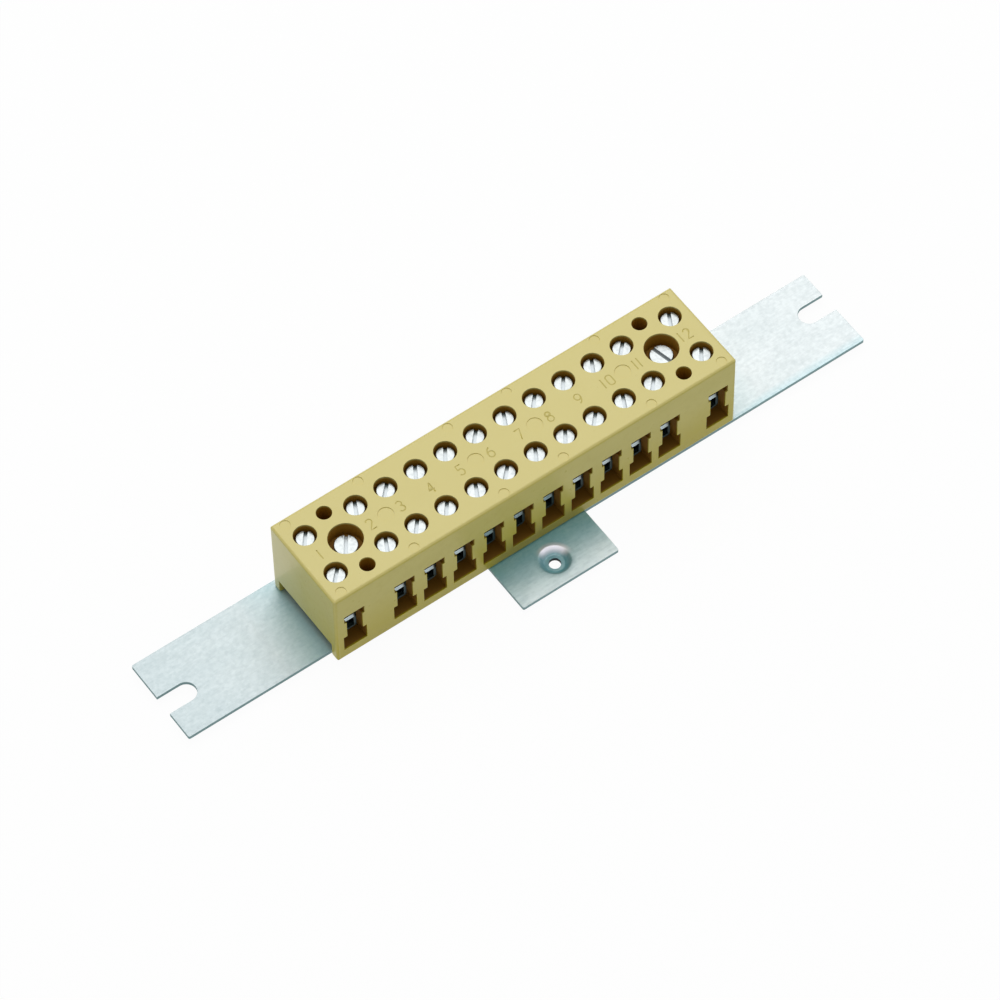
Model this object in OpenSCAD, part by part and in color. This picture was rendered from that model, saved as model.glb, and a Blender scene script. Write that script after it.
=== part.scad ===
// Twelve-pole screw terminal block on a slotted sheet-metal mounting plate.
// X runs along the block, Y from the front wire entries to the rear ones, Z up.
// The origin lies under the middle of the block, on the underside of the mounting plate.

/* [Poles] */
// Distance between neighbouring poles of the middle group
pole_pitch = 8; // [7.6:0.1:9]
// Distance from each end pole to its neighbour, across a mounting screw
end_pole_gap = 13.35; // [13:0.05:16]
// Distance between the front and rear rows of terminal screws
row_spacing = 11.75; // [10.5:0.05:13]

/* [Housing] */
// Depth of the housing from its front face to its rear face
housing_w = 24.8; // [23.4:0.1:30]
// Height of the housing above the mounting plate
housing_h = 23.7; // [22.5:0.1:28]
// Distance from an end pole's axis to the end face of the housing
end_margin = 4.95; // [4.6:0.05:7]
// Radius of the housing's outer edges
edge_r = 0.8; // [0.3:0.1:1.2]
// Width of the two rails that the housing stands on
rail_w = 2.2; // [1.6:0.1:3]
// Height of the rails
rail_h = 1.5; // [0.6:0.1:2.4]
// Height of the relief in each end wall, between the rails
end_relief_h = 4.4; // [3:0.1:6]
// Depth of that relief
end_relief_d = 1.2; // [0.6:0.1:1.5]

/* [Wire entries] */
// Thickness of the moulded floor under a wire entry
entry_floor = 1.75; // [1.2:0.05:2.6]
// Width of the mouth that takes the wire
mouth_w = 6.1; // [5.2:0.1:6.4]
// Height of the mouth
mouth_h = 4.75; // [4.1:0.05:5]
// Width of the neck that guides the clamping yoke
neck_w = 4.15; // [3.8:0.05:4.6]
// Height of the neck
neck_h = 5.45; // [4.6:0.05:6.2]
// Width of the cross slot above the neck
cross_w = 5.35; // [4.7:0.05:6]
// Height of the cross slot
cross_h = 2.4; // [1.4:0.1:2.8]

/* [Clamping yokes] */
// Length of a yoke along the wire
yoke_l = 8; // [7:0.1:8.4]
// Thickness of the strip that a yoke is folded from
yoke_t = 0.65; // [0.5:0.05:0.8]
// Clear height inside a yoke, for the wire and the current bar
window_h = 3.1; // [2.4:0.1:3.6]
// Height of a part-closed yoke above the floor of its entry
yoke_lift = 2.5; // [1.4:0.1:2.8]
// Room behind a yoke, up to the web between front and rear
yoke_back_gap = 0.8; // [0.5:0.1:1.2]

/* [Current bars] */
// Thickness of a current bar
bar_t = 1; // [0.8:0.1:1.4]
// Height of a bar's underside above the floor of the entries
bar_rise = 3.75; // [3.4:0.05:4.6]
// Distance from a bar's end to the outer face of its yoke
bar_inset = 1.2; // [0.4:0.1:2]

/* [Terminal screws] */
// Diameter of a terminal screw's thread
screw_d = 2.5; // [2.2:0.1:2.8]
// Diameter of a terminal screw's head
head_d = 4.4; // [4:0.1:4.8]
// Height of a terminal screw's head
head_h = 1.9; // [1.4:0.1:2.4]
// Depth of the head's top below the top of the housing
head_drop = 1.3; // [0.6:0.1:2]
// Diameter of the shaft that a head lies in
shaft_d = 5.35; // [5:0.05:5.8]
// Width of the slot in a head
slot_w = 0.9; // [0.6:0.05:1.2]
// Depth of the slot in a head
slot_h = 0.9; // [0.5:0.05:1.2]

/* [Mounting screws] */
// Diameter of a mounting screw's thread
mount_d = 3; // [2.6:0.1:3.4]
// Diameter of a mounting screw's head
mount_head_d = 5.5; // [5:0.1:6.5]
// Height of a mounting screw's head
mount_head_h = 2; // [1.6:0.1:2.6]
// Depth of its head's top below the top of the housing
mount_drop = 2.5; // [1.5:0.1:3.5]
// Diameter of the counterbore round its head
counterbore_d = 8; // [7:0.1:8.6]
// Diameter of the four blind holes beside the counterbores
pin_hole_d = 3.6; // [3:0.1:4]
// Depth of these holes
pin_hole_h = 12; // [6:0.5:16]
// Distance of these holes from the middle of the housing
pin_hole_y = 8.25; // [7.6:0.05:9]

/* [Ejector marks] */
// Diameter of the marks along the middle of the top
middle_mark_d = 3.7; // [3:0.1:4.2]
// Diameter of the marks along the edges of the top
edge_mark_d = 2.4; // [1.8:0.1:2.8]
// Distance of an edge mark's middle from the face of the housing
edge_mark_inset = 1.75; // [1.6:0.05:2.2]
// Distance of the outermost edge marks from the end faces
end_mark_inset = 3; // [2.4:0.1:5]
// Depth of the marks
mark_h = 0.2; // [0.1:0.05:0.4]

/* [Mounting plate] */
// Thickness of the sheet
plate_t = 1; // [0.8:0.1:1.6]
// Width of each arm of the plate
arm_w = 22.6; // [21.5:0.1:23.5]
// Reach of each arm past the end of the housing
arm_reach = 37.1; // [25:0.1:60]
// Shift of the left arm's middle towards the rear
left_arm_shift = 2.2; // [0:0.1:2.5]
// Shift of the right arm's middle towards the front
right_arm_shift = 0.8; // [0:0.1:2.5]
// Radius of the plate's corners
plate_corner_r = 0.4; // [0.2:0.1:2]
// Width of the open slot in each arm's end
arm_slot_w = 5.1; // [4.5:0.1:6.5]
// Depth of this slot
arm_slot_l = 8.4; // [7:0.1:14]
// Shift of both slots towards the rear
arm_slot_shift = 0.9; // [0:0.1:2]
// Width of the tab at the front
tab_w = 26.1; // [20:0.1:40]
// Shift of the tab towards the first pole
tab_shift = 0.3; // [0:0.1:3]
// Reach of the tab past the front of the housing
tab_reach = 12.6; // [12:0.1:20]
// Distance of the hole from the tab's front edge
tab_hole_inset = 6.2; // [5.6:0.1:6.6]
// Diameter of the hole in the tab
tab_hole_d = 2.8; // [2.2:0.1:3.4]
// Outer diameter of the pressed dish round the hole
dish_d = 7.8; // [7.2:0.1:9]
// Diameter of the flat floor of the dish
dish_floor_d = 4.2; // [3.8:0.1:5]
// Depth of the dish
dish_h = 1.5; // [0.6:0.1:1.6]

/* [Hidden] */
// Number of poles, two of them at the ends
poles = 12;
// Play of a screw thread in its hole, on the radius
thread_play = 0.05;
// Play of a screw shank in the housing, on the radius
shank_play = 0.25;
// Play of a yoke in the neck, on each side
yoke_play = 0.1;
// Play of a current bar in a yoke and in the web, on each side
bar_play = 0.1;
// Gap between a terminal screw's head and the shoulder below it
shoulder_gap = 0.3;
// Radius of the folds of a yoke, outside
fold_r = 0.9;
// Chamfer at the end of a thread
thread_chamfer = 0.3;
// Rounding of a screw head's rim
rim_r = 0.25;
// Angles of the screw slots from the X axis: mean, and swing from screw to screw
slot_angle = 54;
slot_swing = 9;
swing_step = 137;
// Angle of the right mounting screw's slot
right_slot_angle = 103;
// Steps in the rounded wall of the pressed dish
dish_steps = 8;
// Overlap of cutting bodies past the faces that they cut
over = 1;
$fn = 48;

end_pole_x = (poles - 3) / 2 * pole_pitch + end_pole_gap;
mount_x = end_pole_x - end_pole_gap / 2;
housing_l = 2 * (end_pole_x + end_margin);
foot_z = plate_t;
top_z = foot_z + housing_h;
floor_z = foot_z + rail_h + entry_floor;
ceiling_z = floor_z + mouth_h + neck_h + cross_h;
web_t = row_spacing - yoke_l - 2 * yoke_back_gap;
yoke_w = neck_w - 2 * yoke_play;
window_w = yoke_w - 2 * yoke_t;
yoke_z = floor_z + yoke_lift;
yoke_h = window_h + 3 * yoke_t;
bar_w = window_w - 2 * bar_play;
bar_l = row_spacing + yoke_l - 2 * bar_inset;
bar_z = floor_z + bar_rise;
head_z = top_z - head_drop - head_h;
mount_head_z = top_z - mount_drop - mount_head_h;
plate_l = housing_l + 2 * arm_reach;
tab_front = -housing_w / 2 - tab_reach;
tab_hole_y = tab_front + tab_hole_inset;

POLES = [1:poles];

// Place of a pole along the block, counted from the left
function pole_x(i) = i == 1 ? -end_pole_x : i == poles ? end_pole_x : (i - (poles + 1) / 2) * pole_pitch;

// Turn of a terminal screw's slot
function turn_of(i) = slot_angle + slot_swing * sin(i * swing_step);

module rounded_rect(w, h, r) {
    square([w - 2 * r, h], center = true);
    square([w, h - 2 * r], center = true);
    for (x = [-1, 1], y = [-1, 1])
        translate([x * (w / 2 - r), y * (h / 2 - r)]) circle(r);
}

// Turned screw with its head's underside at z = 0, its shank pointing down
module slotted_screw(thread_d, shank_l, rim_d, rim_h, angle) {
    difference() {
        rotate_extrude()
            polygon([
                [0, -shank_l],
                [thread_d / 2 - thread_chamfer, -shank_l],
                [thread_d / 2, -shank_l + thread_chamfer],
                [thread_d / 2, 0],
                [rim_d / 2, 0],
                [rim_d / 2, rim_h - rim_r],
                [rim_d / 2 - rim_r, rim_h],
                [0, rim_h]
            ]);
        rotate([0, 0, angle])
            translate([-rim_d, -slot_w / 2, rim_h - slot_h]) cube([2 * rim_d, slot_w, slot_h + over]);
    }
}

// Shape of a wire entry on the face, with its floor at y = 0
module entry_profile() {
    translate([-mouth_w / 2, 0]) square([mouth_w, mouth_h]);
    translate([-neck_w / 2, 0]) square([neck_w, mouth_h + neck_h + cross_h]);
    translate([-cross_w / 2, mouth_h + neck_h]) square([cross_w, cross_h]);
}

// One side of a pole: the wire entry and the stepped shaft of its screw
module pole_side() {
    translate([0, -web_t / 2, floor_z]) rotate([90, 0, 0]) linear_extrude(housing_w) entry_profile();
    translate([0, -row_spacing / 2, 0]) {
        translate([0, 0, head_z - shoulder_gap]) cylinder(d = shaft_d, h = housing_h);
        translate([0, 0, ceiling_z - over]) cylinder(d = screw_d + 2 * shank_play, h = housing_h - over);
    }
}

module housing_blank() {
    intersection() {
        linear_extrude(housing_h) rounded_rect(housing_l, housing_w, edge_r);
        translate([-housing_l / 2, 0, housing_h / 2])
            rotate([90, 0, 90]) linear_extrude(housing_l) rounded_rect(housing_w, housing_h, edge_r);
        translate([0, housing_w / 2, housing_h / 2])
            rotate([90, 0, 0]) linear_extrude(housing_w) rounded_rect(housing_l, housing_h, edge_r);
    }
}

module underside_cuts() {
    inner_w = housing_w - 2 * rail_w;
    translate([-housing_l, -inner_w / 2, foot_z - over]) cube([2 * housing_l, inner_w, rail_h + over]);
    for (side = [-1, 1])
        translate([side * (housing_l / 2 + over - (end_relief_d + over) / 2), 0, foot_z + (end_relief_h - over) / 2])
            cube([end_relief_d + over, inner_w, end_relief_h + over], center = true);
}

module ejector_marks() {
    mark_z = top_z - mark_h;
    for (side = [-1, 1]) {
        for (step = [1, 4])
            translate([side * step * pole_pitch, 0, mark_z]) cylinder(d = middle_mark_d, h = mark_h + over);
        for (x = [pole_pitch, 4 * pole_pitch, housing_l / 2 - end_mark_inset], y = [-1, 1])
            translate([side * x, y * (housing_w / 2 - edge_mark_inset), mark_z])
                cylinder(d = edge_mark_d, h = mark_h + over);
    }
}

module housing() {
    color("#d3c68a")
        difference() {
            translate([0, 0, foot_z]) housing_blank();
            underside_cuts();
            ejector_marks();
            for (i = POLES)
                translate([pole_x(i), 0, 0]) {
                    pole_side();
                    mirror([0, 1, 0]) pole_side();
                    translate([-bar_w / 2 - bar_play, -web_t, bar_z - bar_play])
                        cube([bar_w + 2 * bar_play, 2 * web_t, bar_t + 2 * bar_play]);
                }
            for (side = [-1, 1])
                translate([side * mount_x, 0, 0]) {
                    translate([0, 0, mount_head_z]) cylinder(d = counterbore_d, h = housing_h);
                    cylinder(d = mount_d + 2 * shank_play, h = housing_h);
                    for (y = [-1, 1])
                        translate([0, y * pin_hole_y, top_z - pin_hole_h])
                            cylinder(d = pin_hole_d, h = pin_hole_h + over);
                }
        }
}

module plate_outline() {
    difference() {
        union() {
            translate([-plate_l / 4 + tab_w / 4, left_arm_shift])
                rounded_rect(plate_l / 2 + tab_w / 2, arm_w, plate_corner_r);
            translate([plate_l / 4 - tab_w / 4, -right_arm_shift])
                rounded_rect(plate_l / 2 + tab_w / 2, arm_w, plate_corner_r);
            translate([-tab_shift, tab_front / 2]) rounded_rect(tab_w, -tab_front, plate_corner_r);
        }
        for (side = [-1, 1])
            translate([side * plate_l / 2, arm_slot_shift]) {
                circle_x = -side * (arm_slot_l - arm_slot_w / 2);
                translate([circle_x, 0]) circle(d = arm_slot_w);
                translate([circle_x / 2 + side * over / 2, 0])
                    square([abs(circle_x) + over, arm_slot_w], center = true);
            }
    }
}

// Points of the dish's wall from its floor (0) to its rim (1), rounded at both ends, at a height
function dish_wall(z) = [
    for (k = [0:dish_steps])
        let (way = k / dish_steps)
            [dish_floor_d / 2 + way * (dish_d - dish_floor_d) / 2, z - dish_h * (1 + cos(180 * way)) / 2]
];

function backwards(points) = [for (k = [len(points) - 1:-1:0]) points[k]];

// Pressed dish round the tab's hole, revolved with a narrow rim that lies in the sheet
module pressed_dish() {
    rotate_extrude()
        polygon(concat(
            [[tab_hole_d / 2, -dish_h]],
            dish_wall(0),
            [[dish_d / 2 + over, 0], [dish_d / 2 + over, plate_t]],
            backwards(dish_wall(plate_t)),
            [[tab_hole_d / 2, plate_t - dish_h]]
        ));
}

module mounting_plate() {
    color("#d7e1e3") {
        difference() {
            linear_extrude(plate_t) plate_outline();
            translate([-tab_shift, tab_hole_y, -over]) cylinder(d = dish_d + over, h = plate_t + 2 * over);
            for (side = [-1, 1])
                translate([side * mount_x, 0, -over])
                    cylinder(d = mount_d + 2 * thread_play, h = plate_t + 2 * over);
        }
        translate([-tab_shift, tab_hole_y, 0]) pressed_dish();
    }
}

module mounting_screws() {
    color("#dcebe2")
        for (side = [-1, 1])
            translate([side * mount_x, 0, mount_head_z])
                slotted_screw(mount_d, mount_head_z, mount_head_d, mount_head_h,
                    side < 0 ? slot_angle : right_slot_angle);
}

module terminal_screws(row) {
    color("#e4f0ea")
        for (i = POLES)
            translate([pole_x(i), row * row_spacing / 2, head_z])
                slotted_screw(screw_d, head_z - bar_z - bar_t, head_d, head_h, turn_of(i + row * poles));
}

module current_bar(i) {
    color("#c9ad6a")
        translate([pole_x(i) - bar_w / 2, -bar_l / 2, bar_z]) cube([bar_w, bar_l, bar_t]);
}

// Yoke folded from strip round the current bar, its ends doubled at the top and tapped
module yoke(i, row) {
    color("#9aa7ad")
        translate([pole_x(i), row * row_spacing / 2, yoke_z])
            difference() {
                translate([0, yoke_l / 2, yoke_h / 2])
                    rotate([90, 0, 0]) linear_extrude(yoke_l) rounded_rect(yoke_w, yoke_h, fold_r);
                translate([-window_w / 2, -yoke_l, yoke_t]) cube([window_w, 2 * yoke_l, window_h]);
                translate([0, 0, yoke_t + window_h / 2])
                    cylinder(d = screw_d + 2 * thread_play, h = yoke_h);
            }
}

mounting_plate();
housing();
mounting_screws();
terminal_screws(-1);  // front_terminal_screws
terminal_screws(1);  // rear_terminal_screws
for (i = POLES) {
    current_bar(i);
    yoke(i, -1);
    yoke(i, 1);
}
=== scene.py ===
import math

import bmesh
import bpy
from mathutils import Matrix, Vector


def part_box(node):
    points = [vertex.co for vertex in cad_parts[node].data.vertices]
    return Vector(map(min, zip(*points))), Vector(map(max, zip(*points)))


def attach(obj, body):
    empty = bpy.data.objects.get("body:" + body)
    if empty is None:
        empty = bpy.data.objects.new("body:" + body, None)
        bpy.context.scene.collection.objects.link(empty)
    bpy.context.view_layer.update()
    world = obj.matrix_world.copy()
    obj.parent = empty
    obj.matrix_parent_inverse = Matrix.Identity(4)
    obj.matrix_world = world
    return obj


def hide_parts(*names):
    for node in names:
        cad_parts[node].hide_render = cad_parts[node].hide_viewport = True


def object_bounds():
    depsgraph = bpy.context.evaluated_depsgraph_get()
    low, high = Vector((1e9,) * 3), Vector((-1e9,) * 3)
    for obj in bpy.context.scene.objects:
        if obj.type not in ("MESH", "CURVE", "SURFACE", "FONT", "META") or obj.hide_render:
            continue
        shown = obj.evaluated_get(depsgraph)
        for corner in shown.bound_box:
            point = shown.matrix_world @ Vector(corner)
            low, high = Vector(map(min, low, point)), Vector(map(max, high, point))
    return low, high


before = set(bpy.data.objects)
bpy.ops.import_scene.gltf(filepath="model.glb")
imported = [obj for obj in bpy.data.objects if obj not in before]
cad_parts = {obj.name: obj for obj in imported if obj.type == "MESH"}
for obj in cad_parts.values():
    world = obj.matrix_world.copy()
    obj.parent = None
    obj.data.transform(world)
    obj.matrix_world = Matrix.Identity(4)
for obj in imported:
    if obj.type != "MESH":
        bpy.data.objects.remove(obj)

cad_lo, cad_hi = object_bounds()

# Mounting plate: one blank of zinc-plated steel sheet with two arms and a front tab, sheared to
# its outline, with an open slot punched in each arm's end and a dish pressed round the tab's hole.
# The block is screwed down on it, and its arms are fixed to the wall of an enclosure.
MM = 0.001
MERGE_DISTANCE = 0.0005 * MM
FLAT_ANGLE = math.radians(0.2)
SHARP_ANGLE = math.radians(32)
SHEARED_EDGE = 0.07 * MM
SHEET_ZINC = (0.61, 0.605, 0.60, 1)
SHEET_DULL_AND_SHADED = (0.27, 0.265, 0.26, 1)
SHEET_FILM = (0.49, 0.67, 0.73, 1)
SHEET_BLUE_SHADE = (0.19, 0.72, 0.86, 1)
SHEET_DISH_HIGHLIGHT = (0.88, 0.86, 0.93, 1)
SHEET_CUT_SHADE = (0.22, 0.33, 0.34, 1)
SHEET_HOLE_SHADOW = (0.02, 0.028, 0.03, 1)
SHEET_ROUGHNESS = 0.36
SHEET_RELIEF = 0.006 * MM
ROLLING_SIZE = 0.22 * MM
ROLLING_STRETCH = (14, 1, 1)
ROLLING_SPAN = (0.35, 0.75)
SPANGLE_SIZE = 0.7 * MM
SPANGLE_STRETCH = (1.3, 1, 1)
SPANGLE_SPAN = (0.32, 0.68)
STREAK_SIZE = 1.0 * MM
STREAK_STRETCH = (5, 1, 1)
STREAK_SPAN = (0.3, 0.7)
CLOUD_SIZE = 7 * MM
CLOUD_STRETCH = (2, 1, 1)
FLAT_FACE_Z = 0.5
CUT_FACE_Z = 0.3
DISH_PLACE = Vector((-0.3, -18.8, 0)) * MM
DISH_R = 3.9 * MM
DISH_RIM_OUTER = 1.25 * DISH_R
DISH_RIM_INNER = 0.92 * DISH_R
DISH_WALL_UPPER = 0.84 * DISH_R
DISH_WALL_LOWER = 0.64 * DISH_R
DISH_SHADE_START = 1.3 * DISH_R
DISH_SHADE_FULL = 0.6 * DISH_R
HOLE_R = 1.4 * MM
HOLE_WALL_OUTER = 1.15 * HOLE_R
HOLE_WALL_INNER = 1.05 * HOLE_R
TOWARDS_BLOCK_X = 0.47
TOWARDS_BLOCK_Y = 0.88
DISH_HIGHLIGHT_SPAN = (0.3, 0.75)
SHADED_SPAN = (0.2, -0.4)
FILM_ROUGHNESS = 0.6
BLOCK_SHADE_NEAR = 1.5 * MM
BLOCK_SHADE_FAR = 10 * MM
BLOCK_SHADE_SPREAD = 0.6
BLOCK_SHADE_ON_ARMS = 0.5
FILM_SHARE = 0.46
LESS_FILM_SHADE_TO_RIGHT = 0.18
LESS_FILM_SHADE_OUT_ON_TAB = 0.06
LESS_FILM_IN_HIGHLIGHT = 0.15
MORE_FILM_IN_CLOUDS = 0.12
DULL_AND_SHADED_AT_LEFT = 0.42
PAINTED_LIGHT_TO_RIGHT = 0.25
PAINTED_LIGHT_OUT_ON_TAB = 0.7
DARKER_IN_BLOCK_SHADE = 0.15
DULLER_IN_STREAKS = 0.55
DARKER_IN_DISH_SHADE = 0.6
DARKER_IN_WALL_SHADE = 0.35
DULLER_IN_SPANGLE = 0.28
DULLER_IN_ROLLING = 0.12
ROUGHER_IN_ROLLING = 0.1
ROUGHER_IN_CLOUDS = 0.06


class Value:
    """A socket of a node tree. Arithmetic on it adds Math nodes, and node() adds any other node."""

    def __init__(self, tree, socket=None):
        self.tree = tree
        self.socket = socket

    def node(self, kind, settings=None, sockets=None, output=0):
        made = self.tree.nodes.new(kind)
        for name, setting in (settings or {}).items():
            if name == "items":
                while len(made.index_switch_items) < setting:
                    made.index_switch_items.new()
            else:
                setattr(made, name, setting)
        for name, source in (sockets or {}).items():
            socket = self.find(made.inputs, name)
            if isinstance(source, Value):
                self.tree.links.new(source.socket, socket)
            else:
                socket.default_value = source
        return Value(self.tree, self.find(made.outputs, output) if made.outputs else None)

    @staticmethod
    def find(sockets, name):
        if isinstance(name, int):
            return sockets[name]
        named = [s for s in sockets if s.identifier == name] or [s for s in sockets if s.name == name]
        return named[0]

    def out(self, name):
        return Value(self.tree, self.find(self.socket.node.outputs, name))

    def math(self, operation, *others):
        return self.node("ShaderNodeMath", {"operation": operation}, dict(enumerate((self, *others))))

    def mix(self, first, second):
        """The first colour where this mask is 0, the second where it is 1."""
        colours = {"Factor_Float": self, "A_Color": first, "B_Color": second}
        return self.node("ShaderNodeMix", {"data_type": "RGBA"}, colours, "Result_Color")

    def ramp(self, low, high):
        """This value stretched so that low becomes 0 and high becomes 1, and held there."""
        limits = {"Value": self, "From Min": low, "From Max": high}
        return self.node("ShaderNodeMapRange", {"clamp": True}, limits)

    def __add__(self, other):
        return self.math("ADD", other)

    __radd__ = __add__

    def __sub__(self, other):
        return self.math("SUBTRACT", other)

    def __rsub__(self, other):
        return self.node("ShaderNodeMath", {"operation": "SUBTRACT"}, {0: other, 1: self})

    def __mul__(self, other):
        return self.math("MULTIPLY", other)

    __rmul__ = __mul__

    def __truediv__(self, other):
        return self.math("DIVIDE", other)

    def __rtruediv__(self, other):
        return self.node("ShaderNodeMath", {"operation": "DIVIDE"}, {0: other, 1: self})


def new_material(name):
    """An empty material, and a value to add its first node with."""
    material = bpy.data.materials.new(name)
    material.use_nodes = True
    material.node_tree.nodes.clear()
    return material, Value(material.node_tree)


def surface(nodes, sockets):
    """Ends a material in a Principled shader with these sockets."""
    shader = nodes.node("ShaderNodeBsdfPrincipled", {}, sockets)
    nodes.node("ShaderNodeOutputMaterial", {}, {"Surface": shader})


def position(nodes):
    """The place of a point of the surface, to be split into its axes."""
    place = nodes.node("ShaderNodeTexCoord", output="Object")
    return nodes.node("ShaderNodeSeparateXYZ", {}, {"Vector": place})


def noise(nodes, size, stretch=(1, 1, 1), detail=3.0):
    """Noise whose patches are about this size, drawn out along the axes by stretch."""
    place = nodes.node("ShaderNodeTexCoord", output="Object")
    scale = tuple(1 / (size * s) for s in stretch)
    mapped = nodes.node("ShaderNodeMapping", {}, {"Vector": place, "Scale": scale})
    return nodes.node("ShaderNodeTexNoise", {}, {"Vector": mapped, "Scale": 1.0, "Detail": detail})


def bump(nodes, height, depth, strength=0.5):
    """Normals of a surface that rises by depth where height goes from 0 to 1."""
    return nodes.node("ShaderNodeBump", {}, {"Height": height, "Distance": depth, "Strength": strength})


def add_object(name, data):
    made = bpy.data.objects.new(name, data)
    bpy.context.scene.collection.objects.link(made)
    return made


def merged_copy(name, node):
    """A new object from a CAD node, with its loose triangles merged into whole faces."""
    form = bmesh.new()
    form.from_mesh(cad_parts[node].data)
    bmesh.ops.remove_doubles(form, verts=form.verts, dist=MERGE_DISTANCE)
    bmesh.ops.dissolve_limit(form, angle_limit=FLAT_ANGLE, verts=form.verts, edges=form.edges)
    mesh = bpy.data.meshes.new(name)
    form.to_mesh(mesh)
    form.free()
    return add_object(name, mesh)


def break_edges(piece, width, segments=2):
    """Rounds every sharp edge of a piece by a small width."""
    edge = piece.modifiers.new("broken edge", "BEVEL")
    edge.width = width
    edge.segments = segments
    edge.limit_method = "ANGLE"
    edge.angle_limit = SHARP_ANGLE
    edge.use_clamp_overlap = True


def apply_modifiers(piece):
    depsgraph = bpy.context.evaluated_depsgraph_get()
    piece.data = bpy.data.meshes.new_from_object(piece.evaluated_get(depsgraph))
    piece.modifiers.clear()


def settle(piece):
    """Turns a piece into a plain mesh, smooth over its rounded edges and flat on its faces."""
    apply_modifiers(piece)
    piece.data.shade_smooth()
    piece.data.set_sharp_from_angle(angle=SHARP_ANGLE)
    piece.modifiers.new("flat faces", "WEIGHTED_NORMAL").keep_sharp = True
    apply_modifiers(piece)


def dress(piece, material, nodes):
    """Gives a finished piece its material, and puts it in the place of its CAD nodes."""
    if material.name not in piece.data.materials:
        piece.data.materials.clear()
        piece.data.materials.append(material)
    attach(piece, "root")
    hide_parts(*nodes)


def film_beyond(distance):
    """Painted shade of the block: 1 just beyond a side of the block, fading to 0 further out and under
    the block.
    """
    return distance.ramp(BLOCK_SHADE_FAR, BLOCK_SHADE_NEAR) * distance.ramp(-BLOCK_SHADE_NEAR, 0)


zinc_sheet, nodes = new_material("zinc_sheet")
rolling = noise(nodes, ROLLING_SIZE, ROLLING_STRETCH)
spangle = noise(nodes, SPANGLE_SIZE, SPANGLE_STRETCH)
streaks = noise(nodes, STREAK_SIZE, STREAK_STRETCH)
clouds = noise(nodes, CLOUD_SIZE, CLOUD_STRETCH, detail=2.0)
spot = position(nodes)
# Painted shade: the plate is painted darker and bluer close to the block and on the tab, where the block
# shades it, and painted lighter further out on the tab and towards the right-hand end.
low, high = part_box("housing")
along = spot.out("X").ramp(cad_lo.x, cad_hi.x)
beyond_ends = spot.out("X").math("ABSOLUTE") - high.x
beyond_front = low.y - spot.out("Y")
block_shade = film_beyond(beyond_front * BLOCK_SHADE_SPREAD)
block_shade = block_shade.math("MAXIMUM", film_beyond(beyond_ends) * BLOCK_SHADE_ON_ARMS)
on_tab = beyond_front.ramp(0, BLOCK_SHADE_FAR)
dullness_and_shade = DULL_AND_SHADED_AT_LEFT - along * PAINTED_LIGHT_TO_RIGHT + block_shade * DARKER_IN_BLOCK_SHADE
dullness_and_shade = dullness_and_shade - on_tab * PAINTED_LIGHT_OUT_ON_TAB
dullness_and_shade = dullness_and_shade + on_tab * streaks.ramp(*STREAK_SPAN) * DULLER_IN_STREAKS
# The sheared faces are painted a dark teal as shade.
facing = nodes.node("ShaderNodeNewGeometry", output="Normal")
facing = nodes.node("ShaderNodeSeparateXYZ", {}, {"Vector": facing})
sheared = facing.out("Z").math("ABSOLUTE").ramp(FLAT_FACE_Z, CUT_FACE_Z)
# Painted highlight on the upper wall of the dish on the side towards the block. The rest of the dish
# gets painted shade, darkest on the wall away from the block, and the hole's wall a painted shadow.
off_x = spot.out("X") - DISH_PLACE.x
off_y = spot.out("Y") - DISH_PLACE.y
off_hole = (off_x * off_x + off_y * off_y).math("SQRT")
on_wall = off_hole.ramp(DISH_RIM_OUTER, DISH_RIM_INNER)
on_wall = on_wall * off_hole.ramp(DISH_WALL_LOWER, DISH_WALL_UPPER)
towards_block = (off_x * TOWARDS_BLOCK_X + off_y * TOWARDS_BLOCK_Y) / off_hole
dish_highlight = on_wall * towards_block.ramp(*DISH_HIGHLIGHT_SPAN) * (1 - sheared)
in_dish = off_hole.ramp(DISH_SHADE_START, DISH_SHADE_FULL)
shaded = on_wall * towards_block.ramp(*SHADED_SPAN)
dullness_and_shade = dullness_and_shade + shaded * DARKER_IN_WALL_SHADE + in_dish * DARKER_IN_DISH_SHADE
dullness_and_shade = dullness_and_shade + spangle.ramp(*SPANGLE_SPAN) * DULLER_IN_SPANGLE
dullness_and_shade = dullness_and_shade + rolling.ramp(*ROLLING_SPAN) * DULLER_IN_ROLLING
cut_shade_colour = off_hole.ramp(HOLE_WALL_OUTER, HOLE_WALL_INNER).mix(SHEET_CUT_SHADE, SHEET_HOLE_SHADOW)
film_colour = block_shade.math("MAXIMUM", in_dish).mix(SHEET_FILM, SHEET_BLUE_SHADE)
film_colour = dish_highlight.mix(film_colour, SHEET_DISH_HIGHLIGHT)
zinc_colour = dish_highlight.mix(dullness_and_shade.mix(SHEET_ZINC, SHEET_DULL_AND_SHADED), SHEET_DISH_HIGHLIGHT)
relief = bump(nodes, rolling + spangle, SHEET_RELIEF, strength=0.6)
plating = nodes.node("ShaderNodeBsdfPrincipled", {}, {
    "Base Color": sheared.mix(zinc_colour, cut_shade_colour),
    "Metallic": 1.0,
    "Roughness": SHEET_ROUGHNESS + rolling * ROUGHER_IN_ROLLING + clouds * ROUGHER_IN_CLOUDS,
    "Normal": relief,
})
film = nodes.node("ShaderNodeBsdfPrincipled", {}, {
    "Base Color": sheared.mix(film_colour, cut_shade_colour),
    "Roughness": FILM_ROUGHNESS,
    "Specular IOR Level": 0.0,
    "Normal": relief,
})
filmed_and_shaded = FILM_SHARE - along * LESS_FILM_SHADE_TO_RIGHT - on_tab * LESS_FILM_SHADE_OUT_ON_TAB
filmed_and_shaded = filmed_and_shaded + clouds * MORE_FILM_IN_CLOUDS - dish_highlight * LESS_FILM_IN_HIGHLIGHT
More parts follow.
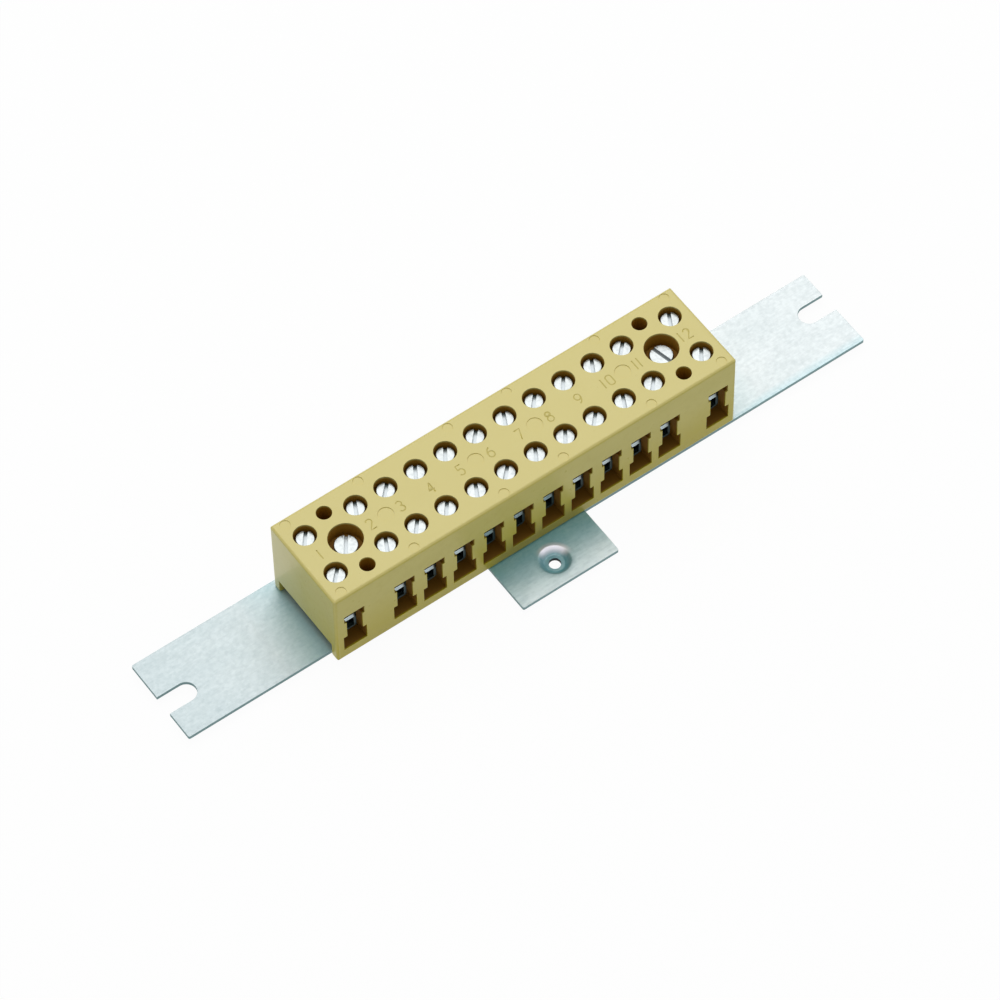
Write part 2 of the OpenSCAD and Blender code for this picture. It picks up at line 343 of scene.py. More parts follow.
passivated = nodes.node("ShaderNodeMixShader", {}, {0: filmed_and_shaded, 1: plating, 2: film})
nodes.node("ShaderNodeOutputMaterial", {}, {"Surface": passivated})
mounting_plate = merged_copy("plate", "mounting_plate")
break_edges(mounting_plate, SHEARED_EDGE)
settle(mounting_plate)
dress(mounting_plate, zinc_sheet, ["mounting_plate"])

# Housing: one moulding of beige-yellow melamine with a wire entry on each side of every pole and
# a stepped shaft for each terminal screw. The mould's ejector pins left shallow rings on its top,
# and the pole numbers are engraved there. Two screws hold it on the plate.
MOULDED_EDGE = 0.12 * MM
DIGIT_W = 1.45 * MM
DIGIT_H = 2.75 * MM
DIGIT_GAP = 1.2 * MM
DIGIT_X = -0.2 * MM
DIGIT_Y = -0.17 * MM
STROKE_W = 0.36 * MM
ENGRAVER_LIFT = 0.04 * MM
ARC_STEP = 15
CLOSED_GAP = 0.001
MELAMINE = (0.57, 0.485, 0.080, 1)
MELAMINE_PALE = (0.61, 0.52, 0.105, 1)
MELAMINE_DEEP = (0.53, 0.435, 0.065, 1)
MELAMINE_SHEEN = (0.655, 0.55, 0.20, 1)
MELAMINE_END_SHEEN = (0.76, 0.69, 0.35, 1)
MELAMINE_FOOT_SHADE = (0.54, 0.44, 0.004, 1)
MELAMINE_SHADE_ABOVE_TAB = (0.36, 0.27, 0.0, 1)
MELAMINE_ENGRAVED_SHADE = (0.50, 0.41, 0.085, 1)
MELAMINE_INSIDE_SHADE = (0.34, 0.155, 0.002, 1)
MELAMINE_ENTRY_SHADE = (0.245, 0.107, 0.0015, 1)
MARKED_DEPTH = 0.25 * MM
SHEEN_DEPTH = 0.45 * MM
RECESS_START = 0.02 * MM
RECESS_END = 0.5 * MM
SHAFT_END = 0.7 * MM
ENTRY_FROM = 3 * MM
ENTRY_TO = 6 * MM
END_WALL = 1.5 * MM
END_SKIN = 0.3 * MM
FOOT_H = 16 * MM
FOOT_FULL = 5 * MM
ABOVE_TAB_H = 9 * MM
ABOVE_TAB_FULL = 2.7 * MM
ABOVE_TAB_REACH = 16 * MM
ABOVE_TAB_CORE = 9.6 * MM
MELAMINE_IOR = 1.5
MELAMINE_ROUGHNESS = 0.22
MELAMINE_RELIEF = 0.006 * MM
FLOW_SIZE = 9 * MM
FLOW_STRETCH = (2.5, 1, 1)
FLOW_SPAN = (0.35, 0.7)
MOTTLE_SIZE = 1.6 * MM
MOTTLE_SPAN = (0.5, 0.8)
SKIN_SIZE = 0.12 * MM
ROUGHER_IN_MOTTLE = 0.1
ROUGHER_IN_SKIN = 0.06
ROUGHER_INSIDE = 0.4
DEEP_IN_MOTTLE = 0.45
SHEEN_ON_TOP = 0.8
SHEEN_ON_ENDS = 0.7
POLES = 12


def arc(x, y, radius_x, radius_y, start, end):
    """Points along an arc of a digit, in shares of its width and height."""
    steps = max(2, round(abs(end - start) / ARC_STEP))
    angles = [math.radians(start + (end - start) * k / steps) for k in range(steps + 1)]
    return [(x + radius_x * math.cos(a), y + radius_y * math.sin(a)) for a in angles]


# Each digit has one or two pen strokes in a box of width 1 and height 1, cut one after the other.
DIGITS = {
    "0": [arc(0.5, 0.76, 0.5, 0.24, 0, 180) + arc(0.5, 0.24, 0.5, 0.24, 180, 360) + [(1, 0.76)]],
    "1": [[(0.5, 0), (0.5, 1)]],
    "2": [arc(0.5, 0.75, 0.48, 0.25, 165, -30) + [(0, 0), (1, 0)]],
    "3": [arc(0.48, 0.77, 0.44, 0.23, 150, -90), arc(0.48, 0.27, 0.5, 0.27, 90, -150)],
    "4": [[(0.75, 1), (0, 0.3), (1, 0.3)], [(0.75, 0), (0.75, 1)]],
    "5": [[(0.95, 1), (0.15, 1), (0.1, 0.58)] + arc(0.47, 0.3, 0.5, 0.3, 120, -145)],
    "6": [arc(0.5, 0.3, 0.5, 0.3, 0, 360), arc(1.1, 0.3, 1.1, 0.7, 180, 110)],
    "7": [[(0, 1), (1, 1), (0.3, 0)]],
    "8": [arc(0.5, 0.77, 0.42, 0.23, 0, 360), arc(0.5, 0.27, 0.5, 0.27, 0, 360)],
    "9": [arc(0.5, 0.7, 0.5, 0.3, 0, 360), arc(-0.1, 0.7, 1.1, 0.7, 0, -70)],
}


def pole_x(number):
    low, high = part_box(f"current_bar_{number}")
    return (low.x + high.x) / 2


def new_pen(name):
    """A curve whose strokes are round rods with closed ends."""
    pen = bpy.data.curves.new(name, "CURVE")
    pen.dimensions = "3D"
    pen.bevel_depth = STROKE_W / 2
    pen.bevel_resolution = 1
    pen.use_fill_caps = True
    return pen


def engrave(pens, number, top_z):
    """Adds a pole's number to the pens' strokes, centred on the pole."""
    word = str(number)
    widths = [0 if digit == "1" else DIGIT_W for digit in word]
    x = pole_x(number) + DIGIT_X - (sum(widths) + DIGIT_GAP * (len(word) - 1)) / 2
    for digit, width in zip(word, widths):
        for pen, stroke in zip(pens, DIGITS[digit]):
            spline = pen.splines.new("POLY")
            spline.use_cyclic_u = math.dist(stroke[0], stroke[-1]) < CLOSED_GAP
            corners = stroke[:-1] if spline.use_cyclic_u else stroke
            spline.points.add(len(corners) - 1)
            for point, (across, up) in zip(spline.points, corners):
                y = DIGIT_Y + (up - 0.5) * DIGIT_H
                point.co = (x + across * width, y, top_z + ENGRAVER_LIFT, 1)
        x += width + DIGIT_GAP


melamine, nodes = new_material("melamine")
flow = noise(nodes, FLOW_SIZE, FLOW_STRETCH)
mottle = noise(nodes, MOTTLE_SIZE)
skin = noise(nodes, SKIN_SIZE, detail=2.0)
body_colour = flow.ramp(*FLOW_SPAN).mix(MELAMINE, MELAMINE_PALE)
body_colour = (mottle.ramp(*MOTTLE_SPAN) * DEEP_IN_MOTTLE).mix(body_colour, MELAMINE_DEEP)
# Depths of a point below the outer faces: the top and the rear of the ends are painted paler as sheen,
# the foot of the front is painted a deeper yellow as shade, most of all above the tab, and shafts and
# entries are painted dark as shade.
low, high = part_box("housing")
spot = position(nodes)
from_ends = high.x - spot.out("X").math("ABSOLUTE")
from_sides = high.y - spot.out("Y").math("ABSOLUTE")
from_top = high.z - spot.out("Z")
from_foot = spot.out("Z") - low.z
recess_shade = from_sides.math("MINIMUM", from_foot).ramp(RECESS_START, RECESS_END)
recess_shade = recess_shade * from_ends.ramp(END_WALL / 2, END_WALL) * from_top.ramp(MARKED_DEPTH, SHAFT_END)
top_sheen = from_top.ramp(SHEEN_DEPTH, MARKED_DEPTH)
body_colour = (top_sheen * SHEEN_ON_TOP).mix(body_colour, MELAMINE_SHEEN)
end_sheen = from_ends.ramp(END_SKIN, 0) * spot.out("Y").ramp(0, high.y)
body_colour = (end_sheen * SHEEN_ON_ENDS).mix(body_colour, MELAMINE_END_SHEEN)
at_front = spot.out("Y").ramp(0, low.y)
body_colour = (from_foot.ramp(FOOT_H, FOOT_FULL) * at_front).mix(body_colour, MELAMINE_FOOT_SHADE)
shade_above_tab = spot.out("X").math("ABSOLUTE").ramp(ABOVE_TAB_REACH, ABOVE_TAB_CORE) * at_front
shade_above_tab = shade_above_tab * from_foot.ramp(ABOVE_TAB_H, ABOVE_TAB_FULL)
body_colour = shade_above_tab.mix(body_colour, MELAMINE_SHADE_ABOVE_TAB)
inside_shade_colour = from_top.ramp(ENTRY_FROM, ENTRY_TO).mix(MELAMINE_INSIDE_SHADE, MELAMINE_ENTRY_SHADE)
# The engraved strokes are painted a darker yellow as shade.
engraved = nodes.node("ShaderNodeAttribute", {"attribute_name": "engraved"}, output="Fac")
body_colour = engraved.mix(body_colour, MELAMINE_ENGRAVED_SHADE)
body_roughness = MELAMINE_ROUGHNESS + mottle * ROUGHER_IN_MOTTLE + skin * ROUGHER_IN_SKIN
surface(nodes, {
    "Base Color": recess_shade.mix(body_colour, inside_shade_colour),
    "Roughness": body_roughness + recess_shade * ROUGHER_INSIDE,
    "IOR": MELAMINE_IOR,
    "Normal": bump(nodes, skin + mottle, MELAMINE_RELIEF),
})
housing = merged_copy("moulding", "housing")
housing.data.attributes.new("engraved", "FLOAT", "FACE")
break_edges(housing, MOULDED_EDGE)
pens = [new_pen("first_strokes"), new_pen("second_strokes")]
for number in range(1, POLES + 1):
    engrave(pens, number, high.z)
engravers = []
for pen in pens:
    rods = add_object(pen.name, pen)
    rods.modifiers.new("closed ends", "WELD").merge_threshold = MERGE_DISTANCE
    depsgraph = bpy.context.evaluated_depsgraph_get()
    engraver = add_object(pen.name, bpy.data.meshes.new_from_object(rods.evaluated_get(depsgraph)))
    bpy.data.objects.remove(rods)
    marks = engraver.data.attributes.new("engraved", "FLOAT", "FACE")
    marks.data.foreach_set("value", [1.0] * len(engraver.data.polygons))
    cut = housing.modifiers.new(pen.name, "BOOLEAN")
    cut.object = engraver
    cut.operation = "DIFFERENCE"
    cut.solver = "MANIFOLD"
    engravers.append(engraver)
settle(housing)
for engraver in engravers:
    bpy.data.objects.remove(engraver)
dress(housing, melamine, ["housing"])

# Current bars: short lengths of tinned brass strip, one in each pole from the front clamp to the
# rear one. Each is pushed through the web of the moulding, and both screws press on it.
BAR_EDGE = 0.08 * MM
BRASS = (0.34, 0.29, 0.20, 1)
BRASS_DULL = (0.18, 0.16, 0.12, 1)
BRASS_ROUGHNESS = 0.28
BRASS_RELIEF = 0.004 * MM
DRAWN_SIZE = 0.1 * MM
DRAWN_STRETCH = (1, 30, 1)
ROUGHER_WHERE_DRAWN = 0.2
STAIN_SIZE = 1.2 * MM
STAIN_SPAN = (0.35, 0.7)


def new_tree(name, sizes):
    """A Geometry Nodes tree on a cloud of points, with named inputs; returns it and its inputs."""
    tree = bpy.data.node_groups.new(name, "GeometryNodeTree")
    tree.interface.new_socket("Points", in_out="INPUT", socket_type="NodeSocketGeometry")
    for size in sizes:
        tree.interface.new_socket(size, in_out="INPUT", socket_type="NodeSocketFloat")
    tree.interface.new_socket("Pieces", in_out="OUTPUT", socket_type="NodeSocketGeometry")
    given = Value(tree).node("NodeGroupInput")
    return tree, [given.out(name) for name in ["Points", *sizes]]


def end_tree(points, piece, material, turn=None):
    """Puts one piece on each point of the cloud, as a plain mesh with its material."""
    sockets = {"Points": points, "Instance": piece}
    if turn is not None:
        sockets["Rotation"] = turn
    pieces = points.node("GeometryNodeInstanceOnPoints", {}, sockets)
    pieces = points.node("GeometryNodeRealizeInstances", {}, {"Geometry": pieces})
    pieces = points.node("GeometryNodeSetMaterial", {}, {"Geometry": pieces, "Material": material})
    points.node("NodeGroupOutput", {}, {"Pieces": pieces})


def grow(name, tree, places, sizes, turns=None):
    """A new object with the tree's modifier on a cloud of these places, its named sizes set."""
    cloud = bpy.data.meshes.new(name)
    cloud.from_pydata(places, [], [])
    if turns:
        cloud.attributes.new("turn", "FLOAT", "POINT").data.foreach_set("value", turns)
    piece = add_object(name, cloud)
    growth = piece.modifiers.new(name, "NODES")
    growth.node_group = tree
    for item in tree.interface.items_tree:
        if item.name in sizes:
            growth[item.identifier] = sizes[item.name]
    return piece


brass, nodes = new_material("tinned_brass")
drawn = noise(nodes, DRAWN_SIZE, DRAWN_STRETCH, detail=2.0)
stain = noise(nodes, STAIN_SIZE)
surface(nodes, {
    "Base Color": stain.ramp(*STAIN_SPAN).mix(BRASS, BRASS_DULL),
    "Metallic": 1.0,
    "Roughness": BRASS_ROUGHNESS + drawn * ROUGHER_WHERE_DRAWN,
    "Normal": bump(nodes, drawn, BRASS_RELIEF),
})
bar_inputs = ["Width", "Length", "Thickness"]
bar_tree, (points, width, length, thickness) = new_tree("current_bar", bar_inputs)
size = points.node("ShaderNodeCombineXYZ", {}, {"X": width, "Y": length, "Z": thickness})
end_tree(points, points.node("GeometryNodeMeshCube", {}, {"Size": size}), brass)
bar_names = [f"current_bar_{number}" for number in range(1, POLES + 1)]
bar_boxes = [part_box(name) for name in bar_names]
bar_size = bar_boxes[0][1] - bar_boxes[0][0]
bars = grow("current_bars", bar_tree, [(low + high) / 2 for low, high in bar_boxes],
            {"Width": bar_size.x, "Length": bar_size.y, "Thickness": bar_size.z})
break_edges(bars, BAR_EDGE)
settle(bars)
dress(bars, brass, bar_names)

# Clamping yokes: zinc-plated steel strip folded into a box round each end of a current bar, its
# ends lapped at the top and tapped for the terminal screw, which lifts the yoke against the wire.
STRIP_T = 0.65 * MM
LAP_GAP = 0.03 * MM
FOLD_R = 0.5 * MM
FOLD_STEPS = 5
TAPPING_D = 2.6 * MM
DRILL_SIDES = 32
STRIP_EDGE = 0.06 * MM
YOKE_ZINC = (0.58, 0.68, 0.71, 1)
YOKE_DULL = (0.42, 0.52, 0.55, 1)
YOKE_SHADE = (0.070, 0.110, 0.120, 1)
UNSHADED_LAP_W = 1.3 * MM
UNSHADED_LAP_H = 1.3 * MM
LAP_FADE = 0.25 * MM
YOKE_ROUGHNESS = 0.26
YOKE_RELIEF = 0.004 * MM
STRIP_GRAIN_SIZE = 0.1 * MM
STRIP_GRAIN_STRETCH = (1, 20, 1)
ROUGHER_IN_GRAIN = 0.2
TARNISH_SIZE = 0.9 * MM
TARNISH_SPAN = (0.4, 0.75)

yoke_zinc, nodes = new_material("yoke_zinc")
strip_grain = noise(nodes, STRIP_GRAIN_SIZE, STRIP_GRAIN_STRETCH, detail=2.0)
tarnish = noise(nodes, TARNISH_SIZE)
# The lapped top keeps the zinc's colour, and the rest of the loop is painted dark as shade.
on_loop = nodes.node("ShaderNodeAttribute", {"attribute_name": "folded"}, output="Vector")
on_loop = nodes.node("ShaderNodeSeparateXYZ", {}, {"Vector": on_loop})
unshaded = on_loop.out("Z").ramp(-UNSHADED_LAP_H - LAP_FADE, -UNSHADED_LAP_H)
unshaded = unshaded * on_loop.out("X").ramp(UNSHADED_LAP_W + LAP_FADE, UNSHADED_LAP_W)
lap_colour = tarnish.ramp(*TARNISH_SPAN).mix(YOKE_ZINC, YOKE_DULL)
surface(nodes, {
    "Base Color": unshaded.mix(YOKE_SHADE, lap_colour),
    "Metallic": 1.0,
    "Roughness": YOKE_ROUGHNESS + strip_grain * ROUGHER_IN_GRAIN,
    "Normal": bump(nodes, strip_grain, YOKE_RELIEF),
})
yoke_inputs = ["Width", "Length", "Height", "Strip", "Gap", "Fold", "Tapping"]
yoke_tree, given = new_tree("clamping_yoke", yoke_inputs)
points, width, length, height, strip, gap, fold, tapping = given
side_x = width / 2 - strip / 2
inner_lap_z = height - strip * 1.5 - gap
# The strip's middle line, from the inner lap's free end round the bar to the outer lap's free end.
fold_points = [
    (gap + strip / 2 - side_x, inner_lap_z),
    (side_x, inner_lap_z),
    (side_x, strip / 2),
    (0 - side_x, strip / 2),
    (0 - side_x, height - strip / 2),
    (width / 2, height - strip / 2),
]
corner = {}
for k, (x, z) in enumerate(fold_points):
    corner[str(k)] = points.node("ShaderNodeCombineXYZ", {}, {"X": x, "Y": z})
index = points.node("GeometryNodeInputIndex")
chosen = points.node("GeometryNodeIndexSwitch", {"data_type": "VECTOR", "items": len(corner)},
                     {"Index": index, **corner})
line = points.node("GeometryNodeMeshLine", {}, {"Count": len(corner)})
line = points.node("GeometryNodeSetPosition", {}, {"Geometry": line, "Position": chosen})
line = points.node("GeometryNodeMeshToCurve", {}, {"Mesh": line})
line = points.node("GeometryNodeSetCurveNormal", {"mode": "Z_UP"}, {"Curve": line})
line = points.node("GeometryNodeFilletCurve", {"mode": "POLY"},
                   {"Curve": line, "Radius": fold, "Count": FOLD_STEPS})
section = points.node("GeometryNodeCurvePrimitiveQuadrilateral", {},
                      {"Width": strip, "Height": length})
loop = points.node("GeometryNodeCurveToMesh", {},
                   {"Curve": line, "Profile Curve": section, "Fill Caps": True})
upright = points.node("GeometryNodeTransform", {},
                      {"Geometry": loop, "Rotation": (math.pi / 2, 0, 0)})
drill = points.node("GeometryNodeMeshCylinder", {},
                    {"Vertices": DRILL_SIDES, "Radius": tapping / 2, "Depth": strip * 4})
drill_place = points.node("ShaderNodeCombineXYZ", {}, {"Z": height - strip})
drill = points.node("GeometryNodeTransform", {}, {"Geometry": drill, "Translation": drill_place})
tapped = points.node("GeometryNodeMeshBoolean", {"operation": "DIFFERENCE", "solver": "MANIFOLD"},
                     {"Mesh 1": upright, "Mesh 2": drill})
place = points.node("GeometryNodeInputPosition")
place = points.node("ShaderNodeSeparateXYZ", {}, {"Vector": place})
from_lap = points.node("ShaderNodeCombineXYZ", {},
                       {"X": place.out("X"), "Z": place.out("Z") - height})
tapped = points.node("GeometryNodeStoreNamedAttribute", {"data_type": "FLOAT_VECTOR", "domain": "POINT"},
                     {"Geometry": tapped, "Name": "folded", "Value": from_lap})
end_tree(points, tapped, yoke_zinc)
for side in ("front", "rear"):
    yoke_names = [f"{side}_yoke_{number}" for number in range(1, POLES + 1)]
    yoke_boxes = [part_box(name) for name in yoke_names]
    yoke_size = yoke_boxes[0][1] - yoke_boxes[0][0]
    seats = [((low.x + high.x) / 2, (low.y + high.y) / 2, low.z) for low, high in yoke_boxes]
    yokes = grow(f"{side}_yokes", yoke_tree, seats,
                 {"Width": yoke_size.x, "Length": yoke_size.y, "Height": yoke_size.z,
                  "Strip": STRIP_T, "Gap": LAP_GAP, "Fold": FOLD_R, "Tapping": TAPPING_D})
    break_edges(yokes, STRIP_EDGE, 1)
    settle(yokes)
    dress(yokes, yoke_zinc, yoke_names)

# Terminal screws: turned steel cheese-head screws with a rolled thread, bright zinc-plated. Each
# lies in its shaft with the head just below the top, its thread in the yoke and its end on the bar.
HEAD_H = 1.9 * MM
RIM_R = 0.25 * MM
SLOT_W = 0.9 * MM
SLOT_H = 0.9 * MM
THREAD_D = 2.5 * MM
THREAD_PITCH = 0.45 * MM
THREAD_DEPTH = 0.6
SLOT_ANGLE = 54
SLOT_SWING = 9
SWING_STEP = 137
AROUND = 32
ROWS_PER_TURN = 4
RIM_TURNS = [math.radians(30), math.radians(60), math.radians(90)]
END_CHAMFER = 0.3 * MM
TOOL_MARK = 0.16 * MM
TOOL_MARK_DEPTH = 0.002 * MM
SLOT_LIP = 0.05 * MM
SCREW_ROUGHNESS = 0.26
PLATING_SIZE = 0.7 * MM
PLATING_SPAN = (0.45, 0.8)
DULL_IN_PLATING = 0.6
ROUGHER_IN_PLATING = 0.14
SCREW_ZINC = (0.345, 0.365, 0.365, 1)
SCREW_DULL = (0.23, 0.255, 0.265, 1)
SCREW_SLOT_SHADE = (0.30, 0.325, 0.335, 1)
SCREW_SLOT_REFLECTION = (0.03, 0.06, 0.065, 1)
SLOT_DARK_FROM = 0.8 * MM
SLOT_DARK_TO = 2.2 * MM

screw_zinc, nodes = new_material("screw_zinc")
turned = nodes.node("ShaderNodeAttribute", {"attribute_name": "turned"}, output="Vector")
axes = nodes.node("ShaderNodeSeparateXYZ", {}, {"Vector": turned})
radius = (axes.out("X") * axes.out("X") + axes.out("Y") * axes.out("Y")).math("SQRT")
tool_marks = (radius * (2 * math.pi / TOOL_MARK)).math("SINE") * 0.5 + 0.5
plating = noise(nodes, PLATING_SIZE)
plated = (plating.ramp(*PLATING_SPAN) * DULL_IN_PLATING).mix(SCREW_ZINC, SCREW_DULL)
below_top = axes.out("Z").ramp(HEAD_H - SLOT_LIP, HEAD_H - SLOT_H)
# The rear end of each terminal screw's slot is painted dark as a reflection of its dark shaft, and
# the slot floor a little darker as shade; the mounting screws lie lower.
mount_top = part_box("mounting_screws")[1].z
slot_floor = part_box("front_terminal_screws")[1].z - SLOT_H
slot_end = axes.out("X").ramp(SLOT_DARK_FROM, SLOT_DARK_TO)
slot_end = slot_end * position(nodes).out("Z").ramp(mount_top, slot_floor)
slot_colour = slot_end.mix(SCREW_SLOT_SHADE, SCREW_SLOT_REFLECTION)
surface(nodes, {
    "Base Color": below_top.mix(plated, slot_colour),
    "Metallic": 1.0,
    "Roughness": SCREW_ROUGHNESS + plating * ROUGHER_IN_PLATING,
    "Normal": bump(nodes, tool_marks, TOOL_MARK_DEPTH),
})
screw_inputs = ["Head", "Head height", "Rim", "Slot width", "Slot depth", "Thread", "Pitch", "Shank"]
screw_tree, given = new_tree("slotted_screw", screw_inputs)
points, head, head_h, rim, slot_w, slot_h, thread, pitch, shank = given

# A grid is turned into a lathe: its rows run up the thread from the screw's end, then up the head.
thread_rows = (shank / pitch * ROWS_PER_TURN).math("FLOOR")
outline = [(thread / 2, 0.0), (head / 2, 0.0), (head / 2, head_h - rim)]
for turn in RIM_TURNS:
    outline.append((head / 2 - rim * (1 - math.cos(turn)), head_h - rim * (1 - math.sin(turn))))
outline.append((0.0, head_h))
rows = thread_rows + len(outline)
index = points.node("GeometryNodeInputIndex")
row = index.math("MODULO", rows)
turn = (index / rows).math("FLOOR") * (2 * math.pi / AROUND)
climb = (row - 1).math("MAXIMUM", 0.0) * (shank / thread_rows)
ridge = (climb / pitch - turn / (2 * math.pi)).math("FRACT") * 2 - 1
thread_r = thread / 2 - ridge.math("ABSOLUTE") * pitch * THREAD_DEPTH
thread_r = thread_r.math("MINIMUM", thread / 2 - END_CHAMFER + climb) * row.math("MINIMUM", 1.0)
on_thread = points.node("ShaderNodeCombineXYZ", {}, {"X": thread_r, "Z": climb - shank})
corners = {}
for k, (r, z) in enumerate(outline):
    corners[str(k)] = points.node("ShaderNodeCombineXYZ", {}, {"X": r, "Z": z})
on_head = points.node("GeometryNodeIndexSwitch", {"data_type": "VECTOR", "items": len(outline)},
                      {"Index": row - thread_rows, **corners})
is_head = row.math("GREATER_THAN", thread_rows - 0.5)
spot = points.node("GeometryNodeSwitch", {"input_type": "VECTOR"},
                   {"Switch": is_head, "False": on_thread, "True": on_head})
spot = points.node("ShaderNodeSeparateXYZ", {}, {"Vector": spot})
lathed = points.node("ShaderNodeCombineXYZ", {}, {
    "X": spot.out("X") * turn.math("COSINE"),
    "Y": spot.out("X") * turn.math("SINE"),
    "Z": spot.out("Z"),
})
screw = points.node("GeometryNodeMeshGrid", {}, {"Vertices X": AROUND + 1, "Vertices Y": rows})
screw = points.node("GeometryNodeSetPosition", {}, {"Geometry": screw, "Position": lathed})
screw = points.node("GeometryNodeMergeByDistance", {},
                    {"Geometry": screw, "Distance": MERGE_DISTANCE})
cutter_size = points.node("ShaderNodeCombineXYZ", {}, {"X": head * 2, "Y": slot_w, "Z": slot_h * 2})
cutter = points.node("GeometryNodeMeshCube", {}, {"Size": cutter_size})
cutter_place = points.node("ShaderNodeCombineXYZ", {}, {"Z": head_h})
cutter = points.node("GeometryNodeTransform", {}, {"Geometry": cutter, "Translation": cutter_place})
screw = points.node("GeometryNodeMeshBoolean", {"operation": "DIFFERENCE", "solver": "MANIFOLD"},
                    {"Mesh 1": screw, "Mesh 2": cutter})
place = points.node("GeometryNodeInputPosition")
screw = points.node("GeometryNodeStoreNamedAttribute", {"data_type": "FLOAT_VECTOR", "domain": "POINT"},
                    {"Geometry": screw, "Name": "turned", "Value": place})
slot_turn = points.node("GeometryNodeInputNamedAttribute", {"data_type": "FLOAT"}, {"Name": "turn"})
slot_turn = points.node("ShaderNodeCombineXYZ", {}, {"Z": slot_turn})
end_tree(points, screw, screw_zinc, slot_turn)


def screw_sizes(node, head_h, thread_d, pitch):
    """The tree's sizes for a CAD node of screws, whose heads lie side by side along X."""
    low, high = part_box(node)
    return {"Head": high.y - low.y, "Head height": head_h, "Rim": RIM_R, "Slot width": SLOT_W,
            "Slot depth": SLOT_H, "Thread": thread_d, "Pitch": pitch, "Shank": high.z - low.z - head_h}


for side, first in (("front", -POLES), ("rear", POLES)):
    node = f"{side}_terminal_screws"
    low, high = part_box(node)
    numbers = range(1, POLES + 1)
    places = [(pole_x(number), (low.y + high.y) / 2, high.z - HEAD_H) for number in numbers]
    swings = [math.sin(math.radians((first + number) * SWING_STEP)) for number in numbers]
    turns = [math.radians(SLOT_ANGLE + SLOT_SWING * swing) for swing in swings]
    sizes = screw_sizes(node, HEAD_H, THREAD_D, THREAD_PITCH)
    screws = grow(f"{side}_screws", screw_tree, places, sizes, turns)
    settle(screws)
    dress(screws, screw_zinc, [node])

# Mounting screws: two larger screws of the same make, deep in counterbores near the ends of the
# block. They run down through the moulding and hold it on the plate, which is tapped for them.
MOUNT_HEAD_H = 2.0 * MM
MOUNT_THREAD_D = 3.0 * MM
MOUNT_PITCH = 0.5 * MM
MOUNT_TURNS = [math.radians(54), math.radians(103)]

low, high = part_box("mounting_screws")
mount_sizes = screw_sizes("mounting_screws", MOUNT_HEAD_H, MOUNT_THREAD_D, MOUNT_PITCH)
reach = (high.x - low.x - mount_sizes["Head"]) / 2
middle = (low + high) / 2
mount_places = [(middle.x + side * reach, middle.y, high.z - MOUNT_HEAD_H) for side in (-1, 1)]
mounting_screws = grow("mounting_screw_pair", screw_tree, mount_places, mount_sizes, MOUNT_TURNS)
settle(mounting_screws)
dress(mounting_screws, screw_zinc, ["mounting_screws"])

# Studio: a pale sweep that shows as white and keeps a light shadow, one large soft lamp above the
# rear right of the block, and the even light of a white room.
FLOOR_DROP = 0.02 * MM
FLOOR_REACH = 3.0
FLOOR_COLOUR = (0.9, 0.9, 0.9, 1)
FLOOR_WHITENESS = 0.96
ROOM_LIGHT = 0.37
ROOM_COLOUR = (0.93, 1.0, 0.95, 1)
WHITE = (1, 1, 1, 1)
LAMP_PLACE = Vector((0.14, 0.34, 0.98))
LAMP_SIZE = 1.1
LAMP_POWER = 8.0
CAMERA_AIM = Vector((-0.957, 1.103, 1.239)) * MM
CAMERA_AZIMUTH = math.radians(34.737)
CAMERA_ELEVATION = math.radians(56.505)
CAMERA_ROLL = math.radians(1.167)
CAMERA_DISTANCE = 1235.67 * MM
CAMERA_LENS = 199.61
CAMERA_FAR = 10.0


def seen_directly(nodes):
    """1 for rays from the camera, a mirror or glass, and 0 for rays of scattered light."""
    path = nodes.node("ShaderNodeLightPath")
    mirrored = path.out("Is Glossy Ray").math("MAXIMUM", path.out("Is Transmission Ray"))
    return mirrored.math("MAXIMUM", path.out("Is Camera Ray"))


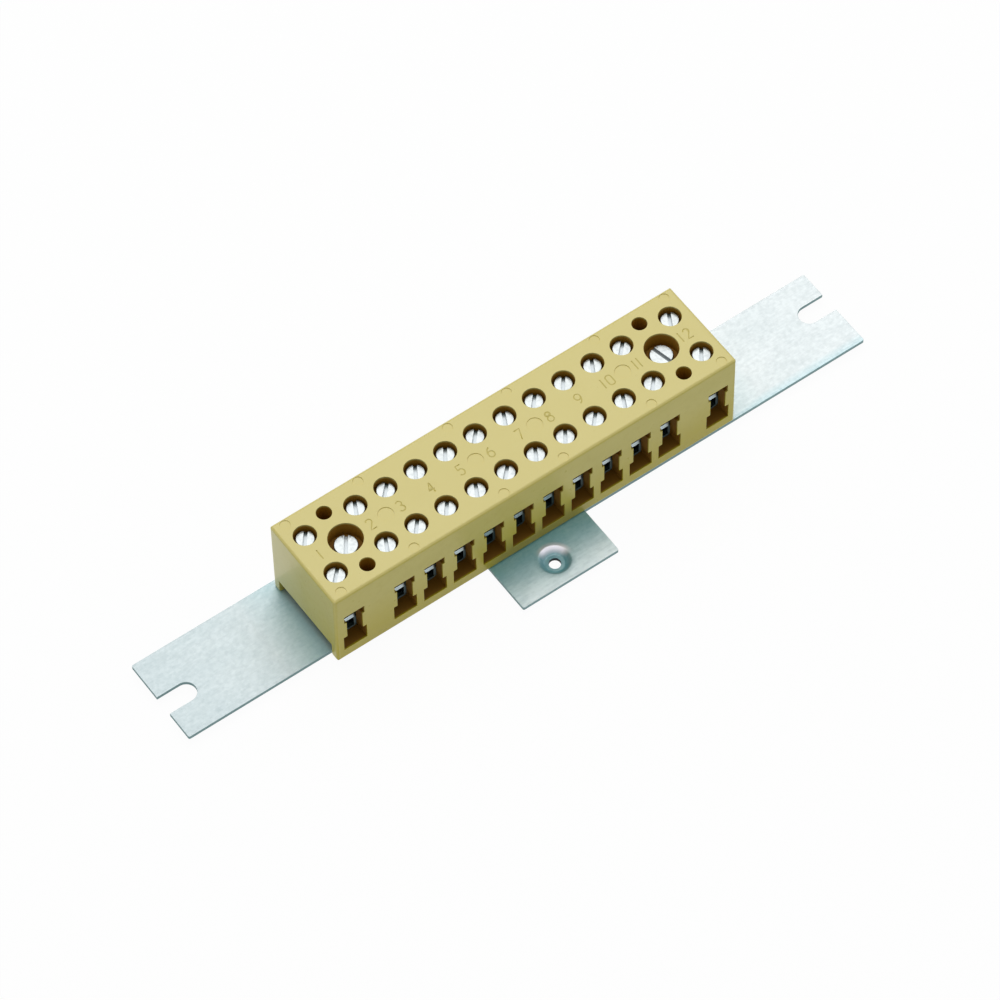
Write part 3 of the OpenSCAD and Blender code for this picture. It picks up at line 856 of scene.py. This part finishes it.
sweep, nodes = new_material("sweep")
cloth = nodes.node("ShaderNodeBsdfDiffuse", {}, {"Color": FLOOR_COLOUR})
glow = nodes.node("ShaderNodeEmission", {}, {"Color": WHITE, "Strength": 1.0})
whiteness = seen_directly(nodes) * FLOOR_WHITENESS
shown = nodes.node("ShaderNodeMixShader", {}, {0: whiteness, 1: cloth, 2: glow})
nodes.node("ShaderNodeOutputMaterial", {}, {"Surface": shown})
floor_z = cad_lo.z - FLOOR_DROP
floor_mesh = bpy.data.meshes.new("floor")
floor_corners = []
for x, y in ((-1, -1), (1, -1), (1, 1), (-1, 1)):
    floor_corners.append((x * FLOOR_REACH, y * FLOOR_REACH, floor_z))
floor_mesh.from_pydata(floor_corners, [], [(0, 1, 2, 3)])
floor_mesh.materials.append(sweep)
floor = add_object("floor", floor_mesh)

room = bpy.data.worlds.new("room")
room.use_nodes = True
room.node_tree.nodes.clear()
nodes = Value(room.node_tree)
direct = seen_directly(nodes)
backdrop = nodes.node("ShaderNodeBackground", {}, {
    "Color": direct.mix(ROOM_COLOUR, WHITE),
    "Strength": ROOM_LIGHT + direct * (1 - ROOM_LIGHT),
})
nodes.node("ShaderNodeOutputWorld", {}, {"Surface": backdrop})
bpy.context.scene.world = room

softbox = bpy.data.lights.new("softbox", "AREA")
softbox.size = LAMP_SIZE
softbox.energy = LAMP_POWER
lamp = add_object("softbox", softbox)
lamp.location = LAMP_PLACE
lamp.rotation_euler = (-LAMP_PLACE).to_track_quat("-Z", "Y").to_euler()

camera = add_object("camera", bpy.data.cameras.new("camera"))
camera.data.lens = CAMERA_LENS
level = math.cos(CAMERA_ELEVATION)
forward = Vector((
    math.sin(CAMERA_AZIMUTH) * level,
    math.cos(CAMERA_AZIMUTH) * level,
    -math.sin(CAMERA_ELEVATION),
))
camera.location = CAMERA_AIM - forward * CAMERA_DISTANCE
turned_back = Matrix.Rotation(-CAMERA_ROLL, 3, "Z")
camera.rotation_euler = (forward.to_track_quat("-Z", "Y").to_matrix() @ turned_back).to_euler()
camera.data.clip_end = CAMERA_FAR
bpy.context.scene.camera = camera
bpy.context.scene.view_settings.view_transform = "Standard"
